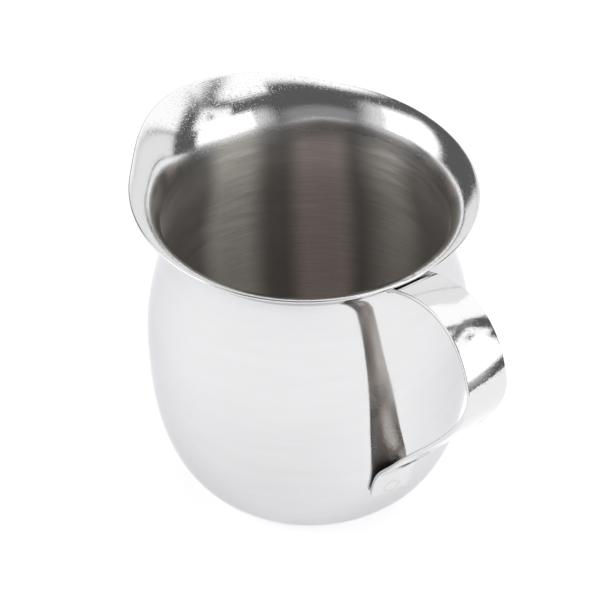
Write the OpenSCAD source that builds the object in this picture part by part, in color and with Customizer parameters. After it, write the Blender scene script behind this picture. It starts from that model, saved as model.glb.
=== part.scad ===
// Small cream jug: one drawn sheet-metal shell and one bent strap handle.
// Units are millimetres, +Z up, the jug stands on z = 0 with its axis on Z.
// The handle is on the +X side and the pouring lip on the -X side.

/* [Body] */
// Widest outside diameter of the belly
body_d = 64; // [56:1:80]
// Height of the widest ring of the belly
belly_h = 28.7; // [24:0.1:34]
// Diameter of the flat underside the jug stands on
base_d = 36; // [26:1:44]
// Outside diameter of the narrowest ring of the neck
neck_d = 55.4; // [46:0.2:60]
// Height of the narrowest ring of the neck
neck_h = 58.6; // [50:0.2:70]
// Thickness of the sheet the shell is drawn from
wall = 0.6; // [0.5:0.1:1.2]

/* [Rim and pouring lip] */
// Diameter of the round part of the flared rim
rim_d = 65.6; // [60:0.2:82]
// Height of the rim behind the handle
rim_back_h = 65.9; // [62:0.1:80]
// Height of the rim at the tip of the pouring lip
lip_h = 71.3; // [66:0.1:88]
// How far the tip of the lip stands out past the round rim
lip_reach = 5.5; // [2:0.1:9]
// Angle from the tip of the lip to where it meets the round rim
lip_half_angle = 50; // [35:1:70]
// Slope of the flare above level at the rim, handle side
rim_slope = 18.7; // [10:0.1:40]
// Slope of the flare above level at the tip of the lip
lip_slope = 29.3; // [15:0.1:50]

/* [Strap handle] */
// Width of the strap
strap_w = 8.4; // [6:0.1:12]
// Thickness of the strap
strap_t = 0.8; // [0.8:0.1:1.4]
// Furthest reach of the strap's middle line from the jug's axis
strap_reach = 54.6; // [50:0.1:62]
// Height at which the strap reaches furthest out
strap_reach_h = 55.1; // [50:0.1:60]
// Slope of the strap below level where it runs back to the belly
strap_return = 55; // [45:1:62]
// Height where the strap lands on the belly
foot_top_h = 18.5; // [17:0.1:23]
// Height of the lower end of the strap
foot_end_h = 15.2; // [12:0.1:16]
// Corner radius of the two ends of the strap
strap_corner = 1.8; // [0.5:0.1:3]
// Sideways drift of the strap about the jug's axis, degrees per mm of height
strap_drift = 0.158; // [0:0.01:0.2]
// Width of each spot weld between strap and shell
weld_w = 3.2; // [2:0.1:5]

/* [Hidden] */
body_r = body_d / 2;
base_r = base_d / 2;
neck_r = neck_d / 2;
rim_r = rim_d / 2;
// roundness of the lower belly, across and up
belly_round_r = 2.09;
belly_round_z = 2.26;
// how late the upper belly draws in to the neck
shoulder_skew = 1.51;
// second wave of the rim line, seen from the side
rim_wave = 0.47;
// pull of the flare's curve handles, as a share of its length
flare_pull = 0.4;
// overlap of the flared part into the turned part of the shell
seam = 1.2;
seam_inset = 0.05;
belly_steps = 36;
shoulder_steps = 36;
flare_steps = 12;
round_steps = 120;
// space left between strap and shell, filled only by the welds
weld_gap = 0.15;
// space left at the flat end of each weld
weld_slack = 0.03;
weld_facets = 720;
// height at which the strap has no drift
drift_level_h = 71;
// stretch of the strap that lies under the flare, as shares of the flare's curve
tab_from = 0.5;
tab_to = 0.96;
// where the return run ends and turns to land, out and up from the belly's widest ring
landing = [body_r + 5.9, belly_h + 0.1];
// lengths of the curve handles along the strap
top_pull = 17.3;
crown_pull = 2.4;
reach_pull = 7.8;
return_pull = 11;
landing_pull = 0.4;
tab_steps = 12;
curve_steps = 26;
foot_steps = 16;
// steps of the flare's curve that the upper weld covers
weld_upper_steps = [8, 10];
// heights on the belly that the lower weld covers
weld_lower_h = [15.9, 18.1];
$fn = 96;

// ---- outline of the turned part of the shell ----

function mix(a, b, t) = a + (b - a) * t;
function unit(v) = v / norm(v);
function left_of(v) = [-v[1], v[0]];

// lower belly, from the edge of the flat underside up to the widest ring
function belly_at(t) = [
    base_r + (body_r - base_r) * pow(sin(t), 2 / belly_round_r),
    belly_h * (1 - pow(cos(t), 2 / belly_round_z))
];

// upper belly, from the widest ring (u = 0) to the neck (u = 1)
function shoulder_at(u) = [
    body_r - (body_r - neck_r) * (0.5 - 0.5 * cos(180 * pow(u, shoulder_skew))),
    mix(belly_h, neck_h, u)
];

belly_line = [for (i = [0:belly_steps]) belly_at(90 * i / belly_steps)];
shoulder_line = [for (i = [1:shoulder_steps]) shoulder_at(i / shoulder_steps)];
outer_line = concat(belly_line, shoulder_line);
line_n = len(outer_line);

// direction of the outline at each point, taken across its neighbours
function line_dir(p, i) =
    i == 0 ? [1, 0] :
    i == len(p) - 1 ? [0, 1] :
    unit(p[i + 1] - p[i - 1]);

// the same for a short piece of outline, whose ends follow their one neighbour
function pad_dir(p, i) = unit(p[min(i + 1, len(p) - 1)] - p[max(i - 1, 0)]);

inner_line = [for (i = [0:line_n - 1]) outer_line[i] + wall * left_of(line_dir(outer_line, i))];

// outside radius of the turned part at height z
function shell_r(z) = lookup(z, [for (p = outer_line) [p[1], p[0]]]);

// ---- flared rim with its pouring lip ----

// share of the pouring lip at an angle measured from its tip
function lip_share(a) = abs(a) >= lip_half_angle ? 0 : pow(cos(90 * a / lip_half_angle), 2);
function tip_angle(a) = a > 180 ? a - 360 : a;
function rim_radius(a) = rim_r + lip_reach * lip_share(tip_angle(a));
function rim_height(a) =
    (rim_back_h + lip_h) / 2 - rim_wave
    + (lip_h - rim_back_h) / 2 * cos(a)
    + rim_wave * cos(2 * a);
function flare_slope(a) = mix(rim_slope, lip_slope, pow(0.5 + 0.5 * cos(a), 2));

function bezier(p, t) =
    pow(1 - t, 3) * p[0]
    + 3 * pow(1 - t, 2) * t * p[1]
    + 3 * (1 - t) * pow(t, 2) * p[2]
    + pow(t, 3) * p[3];
function bezier_dir(p, t) = unit(
    pow(1 - t, 2) * (p[1] - p[0])
    + 2 * (1 - t) * t * (p[2] - p[1])
    + pow(t, 2) * (p[3] - p[2])
);

// curve of the flare in the upright plane at angle a from the lip
function flare_curve(a) =
    let (start = [neck_r, neck_h])
    let (end = [rim_radius(a), rim_height(a)])
    let (pull = flare_pull * norm(end - start))
    let (slope = flare_slope(a))
    [start, start + [0, pull], end - pull * [cos(slope), sin(slope)], end];

function flare_out(a, j) = bezier(flare_curve(a), j / flare_steps);
function flare_in(a, j) =
    flare_out(a, j) + wall * left_of(bezier_dir(flare_curve(a), j / flare_steps));

// one upright slice through the flare: outside going up, inside coming down
function flare_slice(a) = concat(
    [[shell_r(neck_h - seam) - seam_inset, neck_h - seam]],
    [for (j = [0:flare_steps]) flare_out(a, j) - (j == 0 ? [seam_inset, 0] : [0, 0])],
    [for (j = [flare_steps:-1:0]) flare_in(a, j) + (j == 0 ? [seam_inset, 0] : [0, 0])],
    [[shell_r(neck_h - seam) - wall + seam_inset, neck_h - seam]]
);

slice_n = 2 * flare_steps + 4;

// ---- centre line of the strap in its own upright plane ----

mid_off = weld_gap + strap_t / 2;
function shell_follow(z) = [shell_r(z) + mid_off, z];

// the underside of the flare behind the handle, kept clear by the same space
flare_back = flare_curve(180);
function flare_follow(t) = bezier(flare_back, t) - mid_off * left_of(bezier_dir(flare_back, t));

tab_end = flare_follow(tab_to);
reach_mid = [strap_reach, strap_reach_h];
return_dir = [cos(strap_return), sin(strap_return)];
foot_top = shell_follow(foot_top_h);
foot_dir = unit(shell_follow(foot_top_h + 1) - shell_follow(foot_top_h - 1));
land_pull = landing_pull * norm(landing - foot_top);

top_curve = [
    tab_end,
    tab_end + top_pull * bezier_dir(flare_back, tab_to),
    reach_mid + [0, crown_pull],
    reach_mid
];
back_curve = [
    reach_mid,
    reach_mid - [0, reach_pull],
    landing + return_pull * return_dir,
    landing
];
land_curve = [
    landing,
    landing - land_pull * return_dir,
    foot_top + land_pull * foot_dir,
    foot_top
];

strap_line = concat(
    [for (i = [0:tab_steps]) flare_follow(mix(tab_from, tab_to, i / tab_steps))],
    [for (i = [1:curve_steps]) bezier(top_curve, i / curve_steps)],
    [for (i = [1:curve_steps]) bezier(back_curve, i / curve_steps)],
    [for (i = [1:foot_steps]) bezier(land_curve, i / foot_steps)],
    [for (i = [1:foot_steps]) shell_follow(mix(foot_top_h, foot_end_h, i / foot_steps))]
);
strap_n = len(strap_line);

function strap_dir(i) = unit(strap_line[min(i + 1, strap_n - 1)] - strap_line[max(i - 1, 0)]);

// distance along the strap from its nearer end
function run_from(i) = i == 0 ? 0 : run_from(i - 1) + norm(strap_line[i] - strap_line[i - 1]);
function run_to(i) =
    i == strap_n - 1 ? 0 : run_to(i + 1) + norm(strap_line[i] - strap_line[i + 1]);
function half_width(d) =
    d >= strap_corner ? strap_w / 2 :
    strap_w / 2 - strap_corner + sqrt(pow(strap_corner, 2) - pow(strap_corner - d, 2));

// turn a point of the strap about the jug's axis by the drift at its height
function drift(z) = strap_drift * (z - drift_level_h);
function drifted(p) =
    let (d = drift(p[2]))
    [p[0] * cos(d) - p[1] * sin(d), p[0] * sin(d) + p[1] * cos(d), p[2]];

// the four corners of the strap's section at one point of its line
function strap_section(i) =
    let (n = left_of(strap_dir(i)) * strap_t / 2)
    let (hw = half_width(min(run_from(i), run_to(i))))
    let (a = strap_line[i] + n)
    let (b = strap_line[i] - n)
    [
        drifted([a[0], -hw, a[1]]),
        drifted([a[0], hw, a[1]]),
        drifted([b[0], hw, b[1]]),
        drifted([b[0], -hw, b[1]])
    ];

// ---- sub-parts ----

// closed skin over a list of sections that all have m corners
module skin(sections, m, ring) {
    n = len(sections);
    last = ring ? n - 1 : n - 2;
    sides = [for (i = [0:last]) for (j = [0:m - 1])
        let (a = i * m + j)
        let (b = i * m + (j + 1) % m)
        let (c = ((i + 1) % n) * m + (j + 1) % m)
        let (d = ((i + 1) % n) * m + j)
        for (f = [[a, b, c], [a, c, d]]) f];
    ends = ring ? [] : [
        [for (j = [m - 1:-1:0]) j],
        [for (j = [0:m - 1]) (n - 1) * m + j]
    ];
    polyhedron([for (s = sections) for (p = s) p], concat(sides, ends), convexity = 8);
}

module turned_shell() {
    rotate_extrude()
        polygon(concat(
            [[0, 0]],
            outer_line,
            [for (i = [line_n - 1:-1:0]) inner_line[i]],
            [[0, wall]]
        ));
}

module flare() {
    skin([for (i = [0:round_steps - 1])
        let (a = 360 * i / round_steps)
        [for (p = flare_slice(a)) [-p[0] * cos(a), -p[0] * sin(a), p[1]]]],
        slice_n, true);
}

module body_shell() {
    color("Silver")
        union() {
            turned_shell();
            flare();
        }
}

module handle_strap() {
    color("Gainsboro")
        skin([for (i = [0:strap_n - 1]) strap_section(i)], 4, false);
}

// spot weld: a low pad on the shell that fills the space under the strap,
// turned about the axis over a line of the shell's outside
module weld(line) {
    middle = line[floor(len(line) / 2)];
    angle = atan2(weld_w, middle[0]);
    pad = weld_gap - weld_slack;
    rotate([0, 0, drift(middle[1]) - angle / 2])
        rotate_extrude(angle = angle, $fn = weld_facets)
            polygon(concat(
                line,
                [for (i = [len(line) - 1:-1:0]) line[i] - pad * left_of(pad_dir(line, i))]
            ));
}

module weld_upper() {
    color("DarkGray")
        weld([for (j = [weld_upper_steps[0]:weld_upper_steps[1]]) flare_out(180, j)]);
}

module weld_lower() {
    color("DarkGray")
        weld([for (z = weld_lower_h) [shell_r(z), z]]);
}

body_shell();
handle_strap();
weld_upper();
weld_lower();
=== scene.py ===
"""Looks of a small polished-steel cream jug: a drawn shell with a pouring lip and a strap handle."""

import math

import bmesh
import bpy
from bpy.props import FloatProperty, FloatVectorProperty, IntProperty, PointerProperty
from mathutils import Matrix, Vector


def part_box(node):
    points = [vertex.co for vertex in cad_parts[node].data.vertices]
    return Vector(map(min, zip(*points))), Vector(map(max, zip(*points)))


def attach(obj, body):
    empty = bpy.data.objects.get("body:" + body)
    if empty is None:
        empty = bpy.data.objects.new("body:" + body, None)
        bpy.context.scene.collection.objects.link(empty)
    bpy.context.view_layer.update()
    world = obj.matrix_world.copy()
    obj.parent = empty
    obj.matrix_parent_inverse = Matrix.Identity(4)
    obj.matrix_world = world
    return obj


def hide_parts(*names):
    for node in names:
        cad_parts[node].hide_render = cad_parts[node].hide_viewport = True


bl_info = {
    "name": "Cream Jug",
    "version": (1, 0, 0),
    "blender": (4, 5, 0),
    "location": "3D View > Sidebar > Cream Jug",
    "description": "Builds a polished cream jug, its strap handle and a small studio",
    "category": "Add Mesh",
}

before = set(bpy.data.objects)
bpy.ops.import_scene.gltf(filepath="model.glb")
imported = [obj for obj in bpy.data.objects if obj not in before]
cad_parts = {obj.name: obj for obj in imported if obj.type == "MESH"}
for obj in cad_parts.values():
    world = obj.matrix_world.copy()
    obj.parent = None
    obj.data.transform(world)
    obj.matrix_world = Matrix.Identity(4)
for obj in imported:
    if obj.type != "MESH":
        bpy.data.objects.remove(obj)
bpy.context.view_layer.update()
BODY = "root"
MM = 0.001

SHELL_LOW, SHELL_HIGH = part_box("body_shell")

# how full the shell's outline is: the belly's two powers, and the shoulder's
BELLY_POWER_OUT = 2.09
BELLY_POWER_UP = 2.26
SHOULDER_POWER = 1.51

# the flare: how far the rim waves up and down, and the pull of its curve's ends
RIM_WAVE = 0.47 * MM
FLARE_PULL = 0.4

# rings of faces up the shell
UNDERSIDE_RINGS, BELLY_RINGS, SHOULDER_RINGS, FLARE_RINGS = 6, 24, 24, 16

# part of the flare that the strap's upper end lies under, neck to rim
TAB_FROM, TAB_TO = 0.5, 0.96

# where the strap's return run lands, out and up from the belly's widest ring
LANDING_OUT, LANDING_UP = 5.9 * MM, 0.1 * MM

# pulls of the strap's curves: off the tab, at the crown, under the reach, on the return, at the foot
TOP_PULL, CROWN_PULL, REACH_PULL, RETURN_PULL = 17.3 * MM, 2.4 * MM, 7.8 * MM, 11 * MM
LANDING_PULL = 0.4

# steps along the strap's runs
TAB_STEPS, TOP_STEPS, BACK_STEPS, LANDING_STEPS, FOOT_STEPS = 14, 40, 32, 20, 16


# ---- sizes and colours that a user would change ----

class JugShellSettings(bpy.types.PropertyGroup):
    """Sizes of the drawn shell"""

    body_radius: FloatProperty(
        name="Belly radius", description="Outside radius of the belly at its widest ring",
        default=32.0 * MM, unit="LENGTH")
    belly_height: FloatProperty(
        name="Belly height", description="Height of the widest ring",
        default=28.7 * MM, unit="LENGTH")
    base_radius: FloatProperty(
        name="Base radius", description="Radius of the flat underside",
        default=18.0 * MM, unit="LENGTH")
    neck_radius: FloatProperty(
        name="Neck radius", description="Outside radius of the narrowest ring",
        default=27.7 * MM, unit="LENGTH")
    neck_height: FloatProperty(
        name="Neck height", description="Height of the narrowest ring",
        default=58.6 * MM, unit="LENGTH")
    rim_back_height: FloatProperty(
        name="Rim height", description="Height of the rim behind the handle",
        default=65.9 * MM, unit="LENGTH")
    lip_height: FloatProperty(
        name="Lip height", description="Height of the rim at the tip of the pouring lip",
        default=71.3 * MM, unit="LENGTH")
    lip_half_angle: FloatProperty(
        name="Lip half angle", description="Angle from the tip of the lip to the round rim",
        default=math.radians(50.0), subtype="ANGLE")
    rim_slope: FloatProperty(
        name="Rim slope", description="Slope of the flare above level at the rim, handle side",
        default=math.radians(18.7), subtype="ANGLE")
    lip_slope: FloatProperty(
        name="Lip slope", description="Slope of the flare above level at the tip of the lip",
        default=math.radians(29.3), subtype="ANGLE")
    wall: FloatProperty(
        name="Wall", description="Thickness of the sheet", default=0.6 * MM, unit="LENGTH")
    columns: IntProperty(
        name="Columns", description="Faces round the shell before smoothing", default=120)


class JugStrapSettings(bpy.types.PropertyGroup):
    """Sizes of the strap handle"""

    width: FloatProperty(
        name="Width", description="Width of the strap", default=8.4 * MM, unit="LENGTH")
    thickness: FloatProperty(
        name="Thickness", description="Thickness of the strap", default=0.8 * MM, unit="LENGTH")
    gap: FloatProperty(
        name="Gap", description="Space between strap and shell at the welds",
        default=0.15 * MM, unit="LENGTH")
    corner: FloatProperty(
        name="Corner radius", description="Corner radius of the strap's ends",
        default=1.8 * MM, unit="LENGTH")
    reach: FloatProperty(
        name="Reach", description="Furthest reach of the strap's middle line from the jug's axis",
        default=54.6 * MM, unit="LENGTH")
    reach_height: FloatProperty(
        name="Reach height", description="Height at which the strap reaches furthest out",
        default=55.1 * MM, unit="LENGTH")
    fall: FloatProperty(
        name="Return", description="Slope below level where the strap runs back to the belly",
        default=math.radians(55.0), subtype="ANGLE")
    foot_height: FloatProperty(
        name="Foot height", description="Height where the strap lands on the belly",
        default=18.5 * MM, unit="LENGTH")
    foot_end: FloatProperty(
        name="Foot end", description="Height of the lower end of the strap",
        default=15.2 * MM, unit="LENGTH")
    drift: FloatProperty(
        name="Drift", description="Sideways drift about the jug's axis, degrees per mm of height",
        default=0.158)
    drift_level: FloatProperty(
        name="Drift level", description="Height at which the strap has no drift",
        default=71.0 * MM, unit="LENGTH")


class JugFinishSettings(bpy.types.PropertyGroup):
    """Colours and gloss of the metal"""

    polished: FloatVectorProperty(
        name="Polished", description="Colour of the polished steel", subtype="COLOR",
        default=(0.67, 0.67, 0.675), min=0.0, max=1.0)
    satin: FloatVectorProperty(
        name="Satin", description="Colour of the satin inside", subtype="COLOR",
        default=(0.37, 0.348, 0.328), min=0.0, max=1.0)
    tint: FloatVectorProperty(
        name="Heat tint", description="Straw colour that welding leaves", subtype="COLOR",
        default=(0.36, 0.27, 0.17), min=0.0, max=1.0)
    gloss: FloatProperty(
        name="Polish", description="Roughness of the polished steel",
        default=0.06, min=0.0, max=1.0, subtype="FACTOR")
    satin_roughness: FloatProperty(
        name="Satin roughness", description="Roughness of the satin inside",
        default=0.48, min=0.0, max=1.0, subtype="FACTOR")
    satin_top: FloatProperty(
        name="Satin top", description="Height at which the satin inside meets the polished flare",
        default=62 * MM, unit="LENGTH")


class JugStudioSettings(bpy.types.PropertyGroup):
    """Camera and lights"""

    azimuth: FloatProperty(
        name="Azimuth", description="Where the camera stands, turned from the front",
        default=math.radians(54.0), subtype="ANGLE")
    elevation: FloatProperty(
        name="Elevation", description="How far the camera looks down",
        default=math.radians(40.0), subtype="ANGLE")
    distance: FloatProperty(
        name="Distance", description="Distance from the camera to the aim point",
        default=368.0 * MM, unit="LENGTH")
    lens: FloatProperty(name="Lens", description="Focal length in millimetres", default=111.2)
    roll: FloatProperty(
        name="Roll", description="Tilt of the camera about its line of sight",
        default=math.radians(-1.8), subtype="ANGLE")
    tilt_up: FloatProperty(
        name="Tilt up", description="How far above the aim point the camera looks",
        default=math.radians(1.026), subtype="ANGLE")
    turn_left: FloatProperty(
        name="Turn left", description="How far left of the aim point the camera looks",
        default=math.radians(0.278), subtype="ANGLE")
    aim_height: FloatProperty(
        name="Aim height", description="Height of the aim point over the floor",
        default=32.0 * MM, unit="LENGTH")
    room: FloatProperty(
        name="Room", description="Brightness of the dim room between the soft boxes", default=0.14)
    floor_glow: FloatProperty(
        name="Floor glow", description="Light that the pale floor gives off", default=0.48)


# soft boxes: middle and half width round the jug, lower and upper edge, softness of the
# edges, all in degrees, and brightness
SOFT_BOXES = (
    ("handle side", 21, 29, 10, 46, 4, 1.9),
    ("handle side glow", 4, 28, 4, 44, 13, 0.9),
    ("front left", -118, 26, 3, 57, 8, 2.0),
    ("front left glow", -100, 24, 0, 58, 13, 1.0),
    ("camera side", -52, 26, -8, 30, 14, 0.36),
    ("overhead", 0, 400, 77, 120, 6, 1.5),
    ("overhead front", 8, 42, 65, 120, 4, 1.5),
    ("overhead handle", 28, 11, 43, 58, 3, 1.45),
    ("overhead lip", 43, 8, 51, 58, 3, 1.45),
    ("handle corner", 52, 6, 34, 57, 3, 1.45),
    ("corner fill", 64, 16, 50, 75, 6, 0.28),
    ("overhead right", 116, 38, 50, 120, 4, 1.45),
    ("overhead right high", 111, 43, 60, 120, 3, 1.45),
    ("far right", 98, 23, 31, 70, 4, 1.45),
    ("back right", 124, 48, -4, 30, 4, 1.1),
    ("back", 134, 34, 27, 60, 5, 1.12),
)

# painted reflections: brighter upright bands painted on the brushed inside, standing for its
# streaked reflections of the studio lights: middle, half width and edge in degrees, colour
PAINTED_REFLECTION_BANDS = (
    (84, 11, 6, (1.0, 0.96, 0.88)),
    (47, 11, 5, (1.0, 0.88, 0.83)),
    (17, 9, 8, (0.88, 0.83, 0.77)),
)


# ---- small helpers ----

def mix(a, b, t):
    return a + (b - a) * t


def shares(count):
    """The steps from above 0 to 1, this many of them."""
    return [k / count for k in range(1, count + 1)]


def pick_nothing():
    """Leave edit mode and deselect everything."""
    if bpy.context.mode != "OBJECT":
        bpy.ops.object.mode_set(mode="OBJECT")
    bpy.ops.object.select_all(action="DESELECT")


def pick(piece):
    """Make this piece the only selected one, and active."""
    pick_nothing()
    piece.select_set(True)
    bpy.context.view_layer.objects.active = piece


def apply_modifier(piece, kind, **values):
    """Add a modifier with these values and apply it."""
    pick(piece)
    modifier = piece.modifiers.new(kind.title(), kind)
    for name, value in values.items():
        setattr(modifier, name, value)
    bpy.ops.object.modifier_apply(modifier=modifier.name)


def settle(piece):
    """Put the piece's place into its mesh, so that its object is at the origin."""
    pick(piece)
    bpy.ops.object.transform_apply(location=True, rotation=True, scale=True)


# ---- the shell ----

def belly_point(s, t):
    """Lower belly: t runs from 0 at the underside's edge to 1 at the widest ring."""
    a = 0.5 * math.pi * t
    r = s.base_radius + (s.body_radius - s.base_radius) * math.sin(a) ** (2 / BELLY_POWER_OUT)
    return r, s.belly_height * (1 - math.cos(a) ** (2 / BELLY_POWER_UP))


def shoulder_point(s, u):
    """Upper belly: u runs from 0 at the widest ring to 1 at the neck."""
    wave = 0.5 - 0.5 * math.cos(math.pi * u ** SHOULDER_POWER)
    return (s.body_radius - (s.body_radius - s.neck_radius) * wave,
            mix(s.belly_height, s.neck_height, u))


def bezier(p, t):
    u = 1 - t
    return u ** 3 * p[0] + 3 * u * u * t * p[1] + 3 * u * t * t * p[2] + t ** 3 * p[3]


def bezier_dir(p, t):
    u = 1 - t
    return (u * u * (p[1] - p[0]) + 2 * u * t * (p[2] - p[1]) + t * t * (p[3] - p[2])).normalized()


def flare_curve(s, angle):
    """Curve of the flare at an angle from the tip of the lip, as (radius, height) vectors."""
    rim_radius = SHELL_HIGH[1]
    reach = -SHELL_LOW[0] - rim_radius
    turn = abs(angle) / s.lip_half_angle
    share = math.cos(0.5 * math.pi * turn) ** 2 if turn < 1 else 0.0
    rise = (s.lip_height - s.rim_back_height) / 2
    height = s.rim_back_height + rise - RIM_WAVE
    height += rise * math.cos(angle) + RIM_WAVE * math.cos(2 * angle)
    end = Vector((rim_radius + reach * share, height))
    start = Vector((s.neck_radius, s.neck_height))
    slope = mix(s.rim_slope, s.lip_slope, (0.5 + 0.5 * math.cos(angle)) ** 2)
    pull = FLARE_PULL * (end - start).length
    return (start, start + Vector((0, pull)),
            end - pull * Vector((math.cos(slope), math.sin(slope))), end)


def add_ring(radius, height, last_radius, last_height):
    """Extrude the selected ring to a new radius and height."""
    bpy.ops.mesh.extrude_region_move(
        TRANSFORM_OT_translate={"value": (0, 0, height - last_height)})
    grow = radius / last_radius
    bpy.ops.transform.resize(value=(grow, grow, 1), center_override=(0, 0, height))


def shape_flare(piece, s, first):
    """Give each upright column of the flare its own curve, so that the pouring lip is drawn out."""
    for k in range(FLARE_RINGS):
        for c in range(s.columns):
            v = piece.data.vertices[first + k * s.columns + c]
            angle = math.atan2(v.co.y, -v.co.x)
            r, z = bezier(flare_curve(s, angle), (k + 1) / FLARE_RINGS)
            v.co = (-r * math.cos(angle), r * math.sin(angle), z)


def build_shell(s):
    pick_nothing()
    small = 0.12 * s.base_radius
    bpy.ops.mesh.primitive_circle_add(vertices=s.columns, radius=small, fill_type="TRIFAN")
    piece = bpy.context.active_object
    piece.name = piece.data.name = "jug_shell"
    bpy.ops.object.mode_set(mode="EDIT")
    bpy.ops.mesh.select_mode(type="EDGE")
    bpy.ops.mesh.select_all(action="DESELECT")
    mesh = bmesh.from_edit_mesh(piece.data)
    for edge in mesh.edges:
        edge.select = len(edge.link_faces) == 1
    bmesh.update_edit_mesh(piece.data)

    line = [(mix(small, s.base_radius, t), 0.0) for t in shares(UNDERSIDE_RINGS)]
    line += [belly_point(s, t) for t in shares(BELLY_RINGS)]
    line += [shoulder_point(s, t) for t in shares(SHOULDER_RINGS)]
    last = (small, 0.0)
    for ring in line:
        add_ring(*ring, *last)
        last = ring
    first = s.columns * (len(line) + 1) + 1
    back = flare_curve(s, math.pi)
    for t in shares(FLARE_RINGS):
        ring = tuple(bezier(back, t))
        add_ring(*ring, *last)
        last = ring
    bpy.ops.object.mode_set(mode="OBJECT")
    shape_flare(piece, s, first)

    bpy.ops.object.mode_set(mode="EDIT")
    bpy.ops.mesh.select_all(action="SELECT")
    bpy.ops.mesh.remove_doubles(threshold=1e-6)
    bpy.ops.mesh.normals_make_consistent(inside=False)
    bpy.ops.object.mode_set(mode="OBJECT")
    underside = min(piece.data.polygons, key=lambda f: f.center.xy.length)
    if underside.normal.z > 0:
        bpy.ops.object.mode_set(mode="EDIT")
        bpy.ops.mesh.flip_normals()
        bpy.ops.object.mode_set(mode="OBJECT")
    return piece


def round_rim(piece, s):
    """Round the two edges of the sheet's cut edge."""
    pick(piece)
    bpy.ops.object.mode_set(mode="EDIT")
    bpy.ops.mesh.select_mode(type="EDGE")
    bpy.ops.mesh.select_all(action="DESELECT")
    mesh = bmesh.from_edit_mesh(piece.data)
    for edge in mesh.edges:
        if len(edge.link_faces) == 2 and edge.calc_face_angle(0) > math.radians(60):
            edge.select = True
    bmesh.update_edit_mesh(piece.data)
    bpy.ops.mesh.bevel(offset=0.3 * s.wall, segments=2, affect="EDGES")
    bpy.ops.object.mode_set(mode="OBJECT")


class JUG_OT_shell(bpy.types.Operator):
    """Draw the shell: underside, belly, neck, flare and pouring lip"""

    bl_idname = "jug.shell"
    bl_label = "Build shell"

    def execute(self, context):
        s = context.scene.jug_shell
        piece = build_shell(s)
        finish = context.scene.jug_finish
        piece.data.materials.append(polished_steel("shell_outside", finish))
        piece.data.materials.append(inside_steel("shell_inside", finish))
        apply_modifier(piece, "SOLIDIFY", thickness=s.wall, offset=-1.0,
                       use_even_offset=True, material_offset=1)
        round_rim(piece, s)
        apply_modifier(piece, "SUBSURF", levels=1, render_levels=1)
        bpy.ops.object.shade_smooth()
        settle(piece)
        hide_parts("body_shell")
        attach(piece, BODY)
        return {"FINISHED"}


# ---- the strap handle ----

def shell_radius(s, z):
    """Outside radius of the turned part of the shell at height z."""
    low, high = 0.0, 1.0
    point = belly_point if z < s.belly_height else shoulder_point
    for _ in range(40):
        middle = 0.5 * (low + high)
        if point(s, middle)[1] < z:
            low = middle
        else:
            high = middle
    return point(s, low)[0]


def strap_line(s, h):
    """Centre line of the strap in its own upright plane, as (radius, height) vectors."""
    off = h.gap + h.thickness / 2
    flare = flare_curve(s, math.pi)

    def under_flare(t):
        along = bezier_dir(flare, t)
        return bezier(flare, t) + off * Vector((along.y, -along.x))

    def on_belly(z):
        return Vector((shell_radius(s, z) + off, z))

    tab_end = under_flare(TAB_TO)
    reach = Vector((h.reach, h.reach_height))
    fall = Vector((math.cos(h.fall), math.sin(h.fall)))
    landing = Vector((s.body_radius + LANDING_OUT, s.belly_height + LANDING_UP))
    foot_top = on_belly(h.foot_height)
    foot_dir = (on_belly(h.foot_height + MM) - on_belly(h.foot_height - MM)).normalized()
    pull = LANDING_PULL * (landing - foot_top).length

    top = (tab_end, tab_end + TOP_PULL * bezier_dir(flare, TAB_TO),
           reach + Vector((0, CROWN_PULL)), reach)
    back = (reach, reach - Vector((0, REACH_PULL)), landing + RETURN_PULL * fall, landing)
    land = (landing, landing - pull * fall, foot_top + pull * foot_dir, foot_top)

    line = [under_flare(mix(TAB_FROM, TAB_TO, t)) for t in [0.0] + shares(TAB_STEPS)]
    line += [bezier(top, t) for t in shares(TOP_STEPS)]
    line += [bezier(back, t) for t in shares(BACK_STEPS)]
    line += [bezier(land, t) for t in shares(LANDING_STEPS)]
    line += [on_belly(mix(h.foot_height, h.foot_end, t)) for t in shares(FOOT_STEPS)]
    return line


def end_width(h, run):
    """Width of the strap at this distance from its nearer end, with its round corners."""
    if run >= h.corner:
        return h.width
    return h.width - 2 * (h.corner - math.sqrt(h.corner ** 2 - (h.corner - run) ** 2))


def build_strap(s, h):
    """Draw the strap as a flat strip, one short step at a time along its line."""
    line = strap_line(s, h)
    steps = [(b - a).length for a, b in zip(line, line[1:])]
    runs = [min(sum(steps[:k]), sum(steps[k:])) for k in range(len(line))]
    widths = [end_width(h, run) for run in runs]

    pick_nothing()
    bpy.ops.mesh.primitive_plane_add(size=1)
    piece = bpy.context.active_object
    piece.name = piece.data.name = "jug_strap"
    bpy.ops.object.mode_set(mode="EDIT")
    bpy.ops.mesh.select_mode(type="EDGE")
    mesh = bmesh.from_edit_mesh(piece.data)
    for edge in mesh.edges:
        edge.select = all(v.co.x < 0 for v in edge.verts)
    bmesh.update_edit_mesh(piece.data)
    bpy.ops.mesh.delete(type="VERT")
    mesh = bmesh.from_edit_mesh(piece.data)
    for v in mesh.verts:
        v.select = True
    mesh.select_flush(True)
    bmesh.update_edit_mesh(piece.data)
    bpy.ops.transform.resize(value=(1, widths[0], 1), center_override=(0, 0, 0))
    bpy.ops.transform.translate(value=(line[0].x - 0.5, 0, line[0].y))
    for k in range(1, len(line)):
        move = line[k] - line[k - 1]
        bpy.ops.mesh.extrude_region_move(TRANSFORM_OT_translate={"value": (move.x, 0, move.y)})
        grow = widths[k] / widths[k - 1]
        if abs(grow - 1) > 1e-9:
            bpy.ops.transform.resize(value=(1, grow, 1), center_override=(0, 0, 0))
    bpy.ops.object.mode_set(mode="OBJECT")
    for v in piece.data.vertices:
        turn = math.radians(h.drift) * (v.co.z - h.drift_level) / MM
        v.co = Matrix.Rotation(turn, 3, "Z") @ v.co
    return piece


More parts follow.
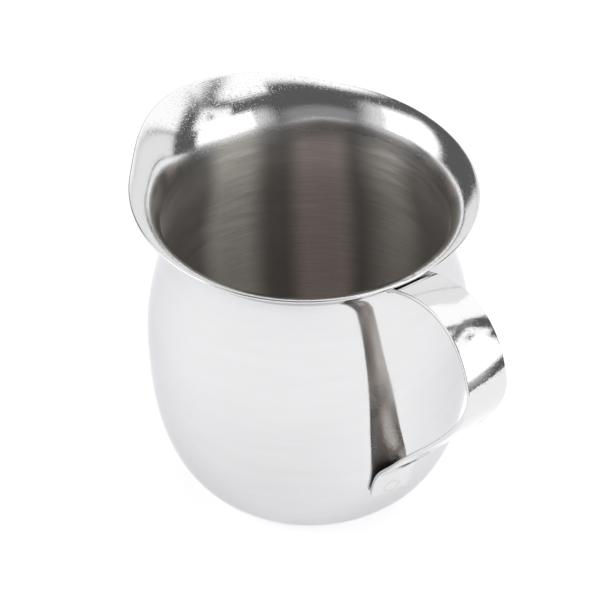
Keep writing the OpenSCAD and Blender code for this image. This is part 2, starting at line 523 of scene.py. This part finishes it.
class JUG_OT_strap(bpy.types.Operator):
    """Bend the strap handle and lay its two ends against the shell"""

    bl_idname = "jug.strap"
    bl_label = "Build strap"

    def execute(self, context):
        h = context.scene.jug_strap
        piece = build_strap(context.scene.jug_shell, h)
        piece.data.materials.append(strap_metal("strap_polished", context.scene.jug_finish))
        apply_modifier(piece, "SOLIDIFY", thickness=h.thickness, offset=0.0, use_even_offset=True)
        pick(piece)
        bpy.ops.object.mode_set(mode="EDIT")
        bpy.ops.mesh.select_all(action="SELECT")
        bpy.ops.mesh.normals_make_consistent(inside=False)
        bpy.ops.object.mode_set(mode="OBJECT")
        apply_modifier(piece, "BEVEL", width=0.22 * h.thickness, segments=3,
                       limit_method="ANGLE", angle_limit=math.radians(60))
        pick(piece)
        bpy.ops.object.shade_smooth_by_angle(angle=math.radians(35))
        settle(piece)
        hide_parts("handle_strap")
        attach(piece, BODY)
        return {"FINISHED"}


class JUG_OT_welds(bpy.types.Operator):
    """Give the two spot welds their dull, heat-marked metal"""

    bl_idname = "jug.welds"
    bl_label = "Finish welds"

    def execute(self, context):
        finish = weld_metal("weld_dull", context.scene.jug_finish)
        for name in ("weld_upper", "weld_lower"):
            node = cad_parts[name]
            node.data.materials.clear()
            node.data.materials.append(finish)
        return {"FINISHED"}


# ---- materials ----

def add_node(tree, kind, label="", **values):
    """Add a node with this label and these settings."""
    node = tree.nodes.new(kind)
    node.label = label
    for name, value in values.items():
        setattr(node, name, value)
    return node


def math_node(tree, operation, a, b=0.0):
    """A Math node on two values or sockets, as its output socket."""
    node = tree.nodes.new("ShaderNodeMath")
    node.operation = operation
    for socket, value in zip(node.inputs, (a, b)):
        if isinstance(value, (int, float)):
            socket.default_value = value
        else:
            tree.links.new(value, socket)
    return node.outputs[0]


def scaled(tree, value, factor):
    return math_node(tree, "MULTIPLY", value, factor)


def total(tree, *terms):
    """Sum of sockets and plain numbers."""
    result = terms[0]
    for term in terms[1:]:
        result = math_node(tree, "ADD", result, term)
    return result


def fade(tree, value, low, high, start=0.0, end=1.0):
    """Smooth change from start to end as the value goes from low to high."""
    node = add_node(tree, "ShaderNodeMapRange", interpolation_type="SMOOTHSTEP")
    node.inputs["To Min"].default_value = start
    node.inputs["To Max"].default_value = end
    tree.links.new(value, node.inputs["Value"])
    for socket, edge in ((node.inputs["From Min"], low), (node.inputs["From Max"], high)):
        if isinstance(edge, (int, float)):
            socket.default_value = edge
        else:
            tree.links.new(edge, socket)
    return node.outputs[0]


def blend(tree, mask, a, b):
    """Colour that goes from a to b with the mask, each a colour or a socket."""
    node = add_node(tree, "ShaderNodeMix", data_type="RGBA")
    tree.links.new(mask, node.inputs[0])
    for socket, value in ((node.inputs[6], a), (node.inputs[7], b)):
        if hasattr(value, "is_output"):
            tree.links.new(value, socket)
        else:
            socket.default_value = (*value, 1)
    return node.outputs[2]


def object_place(tree):
    return add_node(tree, "ShaderNodeTexCoord").outputs["Object"]


def object_xyz(tree):
    """Object coordinates as three sockets."""
    parts = add_node(tree, "ShaderNodeSeparateXYZ")
    tree.links.new(object_place(tree), parts.inputs[0])
    return parts.outputs


def new_group(name, inputs, outputs):
    """A shader node group with float or vector inputs and float outputs."""
    tree = bpy.data.node_groups.new(name, "ShaderNodeTree")
    for label, default in inputs:
        kind = "NodeSocketVector" if isinstance(default, tuple) else "NodeSocketFloat"
        socket = tree.interface.new_socket(name=label, in_out="INPUT", socket_type=kind)
        socket.default_value = default
    for label in outputs:
        tree.interface.new_socket(name=label, in_out="OUTPUT", socket_type="NodeSocketFloat")
    return tree, tree.nodes.new("NodeGroupInput"), tree.nodes.new("NodeGroupOutput")


def turned_lines_group():
    """Fine lines that run round the jug, as a polishing wheel leaves them."""
    tree, given, result = new_group(
        "turned_lines", (("Lines per metre", 5000.0), ("Breaks round", 2.5)), ("Lines", "Streaks"))
    x, y, z = object_xyz(tree)
    radius = math_node(tree, "SQRT", total(
        tree, math_node(tree, "MULTIPLY", x, x), math_node(tree, "MULTIPLY", y, y)))
    radius = math_node(tree, "MAXIMUM", radius, 0.5 * MM)
    run = total(tree, z, scaled(tree, radius, 0.7))
    for name, pitch in (("Lines", 1.0), ("Streaks", 0.16)):
        point = add_node(tree, "ShaderNodeCombineXYZ")
        for socket, side in zip(point.inputs, (x, y)):
            around = math_node(tree, "MULTIPLY", math_node(tree, "DIVIDE", side, radius),
                               given.outputs["Breaks round"])
            tree.links.new(around, socket)
        across = scaled(tree, given.outputs["Lines per metre"], pitch)
        tree.links.new(math_node(tree, "MULTIPLY", run, across), point.inputs[2])
        noise = add_node(tree, "ShaderNodeTexNoise", name)
        noise.inputs["Scale"].default_value = 1.0
        noise.inputs["Detail"].default_value = 3.0
        tree.links.new(point.outputs[0], noise.inputs["Vector"])
        tree.links.new(fade(tree, noise.outputs[0], 0.3, 0.7), result.inputs[name])
    return tree


def fine_pits_group():
    """Tiny pits and ripples that a polished sheet still has, and broad hand smudges."""
    tree, given, result = new_group(
        "fine_pits", (("Pits per metre", 2200.0), ("Smudges per metre", 60.0)),
        ("Pits", "Ripple", "Smudge"))
    place = object_place(tree)
    for name, source, pitch, low, high in (
            ("Pits", "Pits per metre", 1.0, 0.54, 0.70),
            ("Ripple", "Pits per metre", 0.28, 0.25, 0.75),
            ("Smudge", "Smudges per metre", 1.0, 0.42, 0.68)):
        noise = add_node(tree, "ShaderNodeTexNoise", name)
        noise.inputs["Detail"].default_value = 2.0
        tree.links.new(place, noise.inputs["Vector"])
        tree.links.new(scaled(tree, given.outputs[source], pitch), noise.inputs["Scale"])
        tree.links.new(fade(tree, noise.outputs[0], low, high), result.inputs[name])
    return tree


def weld_mark_and_reflection_spot_group():
    """A round spot: its dished core, and the tinted ring round it. On the strap's foot it is the
    welded spot and its heat tint; on the flare its ring is a painted reflection.
    """
    tree, given, result = new_group(
        "weld_mark_and_reflection_spot", (("Centre", (0.0, 0.0, 0.0)), ("Radius", 0.0015)), ("Core", "Ring"))
    place = object_place(tree)
    wobble = add_node(tree, "ShaderNodeTexNoise")
    wobble.inputs["Scale"].default_value = 900.0
    tree.links.new(place, wobble.inputs["Vector"])
    gap = add_node(tree, "ShaderNodeVectorMath", operation="DISTANCE")
    tree.links.new(place, gap.inputs[0])
    tree.links.new(given.outputs["Centre"], gap.inputs[1])
    share = math_node(tree, "DIVIDE", gap.outputs["Value"], given.outputs["Radius"])
    uneven = scaled(tree, math_node(tree, "SUBTRACT", wobble.outputs[0], 0.5), 0.8)
    share = total(tree, share, uneven)
    tree.links.new(fade(tree, share, 0.4, 1.0, 1.0, 0.0), result.inputs["Core"])
    ring = math_node(tree, "MULTIPLY", fade(tree, share, 0.7, 1.0),
                     fade(tree, share, 1.0, 1.5, 1.0, 0.0))
    tree.links.new(ring, result.inputs["Ring"])
    return tree


def upright_band_group():
    """A soft upright band, at an angle in degrees from the far side of the jug."""
    tree, given, result = new_group(
        "upright_band", (("Middle", 0.0), ("Half width", 0.0), ("Edge", 0.0)), ("Mask",))
    x, y = object_xyz(tree)[:2]
    turn = math_node(tree, "DEGREES", math_node(tree, "ARCTAN2", scaled(tree, x, -1.0), y))
    aside = math_node(tree, "ABSOLUTE", math_node(tree, "SUBTRACT", turn, given.outputs["Middle"]))
    near = math_node(tree, "SUBTRACT", given.outputs["Half width"], given.outputs["Edge"])
    far = math_node(tree, "ADD", given.outputs["Half width"], given.outputs["Edge"])
    mask = math_node(tree, "SUBTRACT", 1.0, fade(tree, aside, near, far))
    tree.links.new(mask, result.inputs["Mask"])
    return tree


def shared_group(name):
    """The named node group, built the first time that it is asked for."""
    builders = {"turned_lines": turned_lines_group, "fine_pits": fine_pits_group,
                "weld_mark_and_reflection_spot": weld_mark_and_reflection_spot_group, "upright_band": upright_band_group}
    return bpy.data.node_groups.get(name) or builders[name]()


def use_group(tree, name, **values):
    node = add_node(tree, "ShaderNodeGroup", name, node_tree=shared_group(name))
    for label, value in values.items():
        node.inputs[label.replace("_", " ")].default_value = value
    return node


def new_metal(name):
    """A metal with its Principled shader, as (material, node tree, shader)."""
    material = bpy.data.materials.new(name)
    material.use_nodes = True
    shader = material.node_tree.nodes["Principled BSDF"]
    shader.inputs["Metallic"].default_value = 1.0
    return material, material.node_tree, shader


# depths of the bumps in the metal, in metres
OUTSIDE_LINE_DEPTH = 0.0000012
OUTSIDE_RIPPLE_DEPTH = 0.0000015
INSIDE_LINE_DEPTH = 0.0000025
INSIDE_PIT_DEPTH = 0.000006
STRAP_PIT_DEPTH = 0.000004
FOOT_DISH_DEPTH = 0.00007
WELD_RIPPLE_DEPTH = 0.00003

# dimmer edges of the polished outside, the painted shade of the strap's inner face where it faces
# the belly, and the grey of a weld
OUTSIDE_EDGE = (0.84, 0.84, 0.86)
STRAP_INNER_SHADE = (0.56, 0.52, 0.485)
WELD_GREY = (0.34, 0.33, 0.33)

# the painted reflection on the flare over the upper weld, a straw-coloured ring, and the heat mark
# on the strap's foot
FLARE_REFLECTION_SPOT = (31.3 * MM, -1.2 * MM, 65.3 * MM)
FLARE_REFLECTION_SPOT_RADIUS = 1.6 * MM
FOOT_MARK_RADIUS = 1.4 * MM

# a point inside the handle's loop, which the strap's inner face looks at
LOOP_MIDDLE = (33 * MM, 0, 30 * MM)


def add_bump(tree, shader, height, depth, under=None):
    """Bump of this depth in metres, over the bump beneath it."""
    bump = add_node(tree, "ShaderNodeBump")
    bump.inputs["Strength"].default_value = 1.0
    bump.inputs["Distance"].default_value = depth
    tree.links.new(height, bump.inputs["Height"])
    if under:
        tree.links.new(under.outputs[0], bump.inputs["Normal"])
    tree.links.new(bump.outputs[0], shader.inputs["Normal"])
    return bump


def polished_steel(name, finish):
    """Mirror polish with faint lines round the jug, tiny pits and smudges."""
    material, tree, shader = new_metal(name)
    lines = use_group(tree, "turned_lines", Lines_per_metre=3200.0, Breaks_round=2.0)
    pits = use_group(tree, "fine_pits", Pits_per_metre=1500.0, Smudges_per_metre=70.0)
    dull = tuple(0.93 * c for c in finish.polished)
    colour = blend(tree, scaled(tree, lines.outputs["Streaks"], 0.25),
                   tuple(finish.polished), dull)
    tree.links.new(colour, shader.inputs["Base Color"])
    rough = total(tree, scaled(tree, lines.outputs["Streaks"], 0.02),
                  scaled(tree, pits.outputs["Smudge"], 0.05), finish.gloss)
    tree.links.new(rough, shader.inputs["Roughness"])
    under = add_bump(tree, shader, lines.outputs["Lines"], OUTSIDE_LINE_DEPTH)
    add_bump(tree, shader, pits.outputs["Ripple"], OUTSIDE_RIPPLE_DEPTH, under)
    shader.inputs["Specular Tint"].default_value = (*OUTSIDE_EDGE, 1)
    return material


def inside_steel(name, finish):
    """Satin bowl, brushed round, that turns to a bright polish on the flare."""
    material, tree, shader = new_metal(name)
    lines = use_group(tree, "turned_lines", Lines_per_metre=4500.0, Breaks_round=3.0)
    pits = use_group(tree, "fine_pits", Pits_per_metre=2400.0, Smudges_per_metre=90.0)
    z = object_xyz(tree)[2]
    top = finish.satin_top
    flare = fade(tree, z, top - 4 * MM, top + 4 * MM)

    satin = tuple(finish.satin)
    # painted reflection: the streaks of studio light that the brushed bowl mirrors are painted into
    # its colour as brighter upright bands
    for middle, half, edge, reflection_colour in PAINTED_REFLECTION_BANDS:
        band = use_group(tree, "upright_band", Middle=middle, Half_width=half, Edge=edge)
        satin = blend(tree, band.outputs["Mask"], satin, reflection_colour)
    satin = blend(tree, scaled(tree, lines.outputs["Lines"], 0.25), satin,
                  tuple(0.7 * c for c in finish.satin))
    colour = blend(tree, flare, satin, tuple(finish.polished))
    # painted reflection: a straw-coloured ring painted on the inside of the flare, over the upper
    # weld, stands for a brownish reflection in the rim
    mark = use_group(tree, "weld_mark_and_reflection_spot", Centre=FLARE_REFLECTION_SPOT, Radius=FLARE_REFLECTION_SPOT_RADIUS)
    colour = blend(tree, scaled(tree, mark.outputs["Ring"], 0.7), colour, tuple(finish.tint))
    tree.links.new(colour, shader.inputs["Base Color"])

    satin_rough = total(tree, finish.satin_roughness - 0.05,
                        scaled(tree, lines.outputs["Streaks"], 0.1))
    bright_rough = total(tree, finish.gloss + 0.03, scaled(tree, pits.outputs["Pits"], 0.08))
    bowl = math_node(tree, "SUBTRACT", 1.0, flare)
    rough = total(tree, math_node(tree, "MULTIPLY", satin_rough, bowl),
                  math_node(tree, "MULTIPLY", bright_rough, flare))
    tree.links.new(rough, shader.inputs["Roughness"])
    tree.links.new(fade(tree, z, top - 8 * MM, top, 0.6, 1.0), shader.inputs["Metallic"])
    under = add_bump(tree, shader, lines.outputs["Lines"], INSIDE_LINE_DEPTH)
    add_bump(tree, shader, pits.outputs["Pits"], INSIDE_PIT_DEPTH, under)
    round_jug = add_node(tree, "ShaderNodeTangent", direction_type="RADIAL", axis="Z")
    tree.links.new(round_jug.outputs[0], shader.inputs["Tangent"])
    shader.inputs["Anisotropic"].default_value = 0.8
    shader.inputs["Anisotropic Rotation"].default_value = 0.25
    return material


def strap_metal(name, finish):
    """Bright rolled strip with small pits and the mark of its lower weld."""
    material, tree, shader = new_metal(name)
    pits = use_group(tree, "fine_pits", Pits_per_metre=2600.0, Smudges_per_metre=120.0)
    low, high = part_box("weld_lower")
    middle = (Vector(low) + Vector(high)) / 2
    centre = middle + MM * Vector((middle.x, middle.y, 0)).normalized()
    mark = use_group(tree, "weld_mark_and_reflection_spot", Centre=tuple(centre), Radius=FOOT_MARK_RADIUS)
    place = add_node(tree, "ShaderNodeTexCoord")
    inside = add_node(tree, "ShaderNodeVectorMath", operation="SUBTRACT")
    tree.links.new(place.outputs["Object"], inside.inputs[0])
    inside.inputs[1].default_value = LOOP_MIDDLE
    facing = add_node(tree, "ShaderNodeVectorMath", operation="DOT_PRODUCT")
    tree.links.new(inside.outputs[0], facing.inputs[0])
    tree.links.new(place.outputs["Normal"], facing.inputs[1])
    # painted shade: the strap's inner face, turned towards the belly, is painted darker, and made a
    # little rougher
    inner = fade(tree, facing.outputs["Value"], -1 * MM, 0.0, 1.0, 0.0)
    colour = blend(tree, inner, tuple(finish.polished), STRAP_INNER_SHADE)
    colour = blend(tree, scaled(tree, mark.outputs["Ring"], 0.2), colour, tuple(finish.tint))
    tree.links.new(colour, shader.inputs["Base Color"])
    rough = total(tree, scaled(tree, pits.outputs["Smudge"], 0.05),
                  scaled(tree, pits.outputs["Pits"], 0.06), scaled(tree, inner, 0.2), finish.gloss)
    tree.links.new(rough, shader.inputs["Roughness"])
    under = add_bump(tree, shader, pits.outputs["Pits"], STRAP_PIT_DEPTH)
    dish = add_bump(tree, shader, mark.outputs["Core"], FOOT_DISH_DEPTH, under)
    dish.invert = True
    return material


def weld_metal(name, finish):
    """Dull, blotchy weld with straw and grey tints."""
    material, tree, shader = new_metal(name)
    pits = use_group(tree, "fine_pits", Pits_per_metre=3500.0, Smudges_per_metre=700.0)
    colour = blend(tree, pits.outputs["Smudge"], WELD_GREY, tuple(finish.tint))
    tree.links.new(colour, shader.inputs["Base Color"])
    rough = fade(tree, pits.outputs["Ripple"], 0.0, 1.0, 0.38, 0.6)
    tree.links.new(rough, shader.inputs["Roughness"])
    add_bump(tree, shader, pits.outputs["Ripple"], WELD_RIPPLE_DEPTH)
    return material


# ---- the studio ----

def soft_box_group():
    """One soft box seen by direction: 1 inside its edges and 0 outside."""
    tree, given, result = new_group(
        "soft_box", (("Round", 0.0), ("Up", 0.0), ("Middle", 0.0), ("Half width", 0.0),
                     ("Low", 0.0), ("High", 0.0), ("Edge", 0.0)), ("Light",))
    get = given.outputs

    def edge(value, at):
        return fade(tree, value, math_node(tree, "SUBTRACT", at, get["Edge"]),
                    math_node(tree, "ADD", at, get["Edge"]))

    aside = math_node(tree, "ABSOLUTE", math_node(tree, "SUBTRACT", get["Round"], get["Middle"]))
    beyond = edge(aside, get["Half width"])
    above = edge(get["Up"], get["High"])
    inside = math_node(tree, "MULTIPLY", edge(get["Up"], get["Low"]), math_node(
        tree, "MULTIPLY", math_node(tree, "SUBTRACT", 1.0, beyond),
        math_node(tree, "SUBTRACT", 1.0, above)))
    tree.links.new(inside, result.inputs["Light"])
    return tree


def build_room(studio):
    """World: soft boxes in a dim room, with a plain white backdrop where it is seen directly."""
    world = bpy.data.worlds.new("studio")
    world.use_nodes = True
    tree = world.node_tree
    place = add_node(tree, "ShaderNodeTexCoord")
    parts = add_node(tree, "ShaderNodeSeparateXYZ")
    tree.links.new(place.outputs["Generated"], parts.inputs[0])
    x, y, z = parts.outputs
    round_jug = math_node(tree, "DEGREES", math_node(tree, "ARCTAN2", y, x))
    up = math_node(tree, "DEGREES", math_node(tree, "ARCSINE", z))
    group = soft_box_group()
    light = studio.room
    for name, middle, half, low, high, edge, strength in SOFT_BOXES:
        box = add_node(tree, "ShaderNodeGroup", name, node_tree=group)
        tree.links.new(round_jug, box.inputs["Round"])
        tree.links.new(up, box.inputs["Up"])
        for label, value in (("Middle", middle), ("Half width", half), ("Low", low),
                             ("High", high), ("Edge", edge)):
            box.inputs[label].default_value = value
        light = math_node(tree, "MAXIMUM", scaled(tree, box.outputs["Light"], strength), light)
    seen = add_node(tree, "ShaderNodeLightPath").outputs["Is Camera Ray"]
    hidden = math_node(tree, "SUBTRACT", 1.0, seen)
    light = total(tree, math_node(tree, "MULTIPLY", light, hidden), seen)
    background = tree.nodes["Background"]
    background.inputs["Color"].default_value = (1, 1, 1, 1)
    tree.links.new(light, background.inputs["Strength"])
    return world


class JUG_OT_stage(bpy.types.Operator):
    """Set the pale floor, the soft lights and the camera"""

    bl_idname = "jug.stage"
    bl_label = "Build stage"

    def execute(self, context):
        studio = context.scene.jug_studio
        pick_nothing()
        bpy.ops.mesh.primitive_plane_add(size=6, location=(0, 0, 0))
        floor = bpy.context.active_object
        floor.name = "floor"
        material = bpy.data.materials.new("floor_white")
        material.use_nodes = True
        shader = material.node_tree.nodes["Principled BSDF"]
        shader.inputs["Base Color"].default_value = (0.85, 0.85, 0.86, 1)
        shader.inputs["Roughness"].default_value = 0.9
        shader.inputs["Emission Color"].default_value = (1, 1, 1, 1)
        shader.inputs["Emission Strength"].default_value = studio.floor_glow
        floor.data.materials.append(material)

        context.scene.world = build_room(studio)

        data = bpy.data.cameras.new("camera")
        camera = bpy.data.objects.new("camera", data)
        context.scene.collection.objects.link(camera)
        data.lens = studio.lens
        data.sensor_width = 36
        aim = Vector((0, 0, studio.aim_height))
        az, el = studio.azimuth, studio.elevation
        out = Vector((math.sin(az) * math.cos(el), -math.cos(az) * math.cos(el), math.sin(el)))
        right = Vector((math.cos(az), math.sin(az), 0))
        turn = Matrix((right, out.cross(right), out)).transposed()
        turn = turn @ Matrix.Rotation(studio.roll, 3, "Z")
        turn = turn @ Matrix.Rotation(studio.tilt_up, 3, "X")
        turn = turn @ Matrix.Rotation(studio.turn_left, 3, "Y")
        camera.matrix_world = Matrix.Translation(aim + studio.distance * out) @ turn.to_4x4()
        context.scene.camera = camera
        context.scene.view_settings.view_transform = "Standard"
        return {"FINISHED"}


class JUG_PT_sidebar(bpy.types.Panel):
    """Lists the jug's pieces and the stage"""

    bl_idname = "JUG_PT_sidebar"
    bl_label = "Cream Jug"
    bl_space_type = "VIEW_3D"
    bl_region_type = "UI"
    bl_category = "Cream Jug"

    def draw(self, context):
        layout = self.layout
        scene = context.scene
        for title, settings, operator in (
                ("Shell", scene.jug_shell, "jug.shell"),
                ("Strap", scene.jug_strap, "jug.strap"),
                ("Metal", scene.jug_finish, "jug.welds"),
                ("Stage", scene.jug_studio, "jug.stage")):
            box = layout.box()
            box.label(text=title)
            for name in settings.__annotations__:
                box.prop(settings, name)
            box.operator(operator)


CLASSES = (
    JugShellSettings, JugStrapSettings, JugFinishSettings, JugStudioSettings,
    JUG_OT_shell, JUG_OT_strap, JUG_OT_welds, JUG_OT_stage, JUG_PT_sidebar,
)


def register():
    for item in CLASSES:
        bpy.utils.register_class(item)
    bpy.types.Scene.jug_shell = PointerProperty(type=JugShellSettings)
    bpy.types.Scene.jug_strap = PointerProperty(type=JugStrapSettings)
    bpy.types.Scene.jug_finish = PointerProperty(type=JugFinishSettings)
    bpy.types.Scene.jug_studio = PointerProperty(type=JugStudioSettings)


def unregister():
    for name in ("jug_shell", "jug_strap", "jug_finish", "jug_studio"):
        delattr(bpy.types.Scene, name)
    for item in reversed(CLASSES):
        bpy.utils.unregister_class(item)


def main():
    register()
    bpy.ops.jug.shell()
    bpy.ops.jug.strap()
    bpy.ops.jug.welds()
    bpy.ops.jug.stage()


if __name__ == "__main__":
    main()
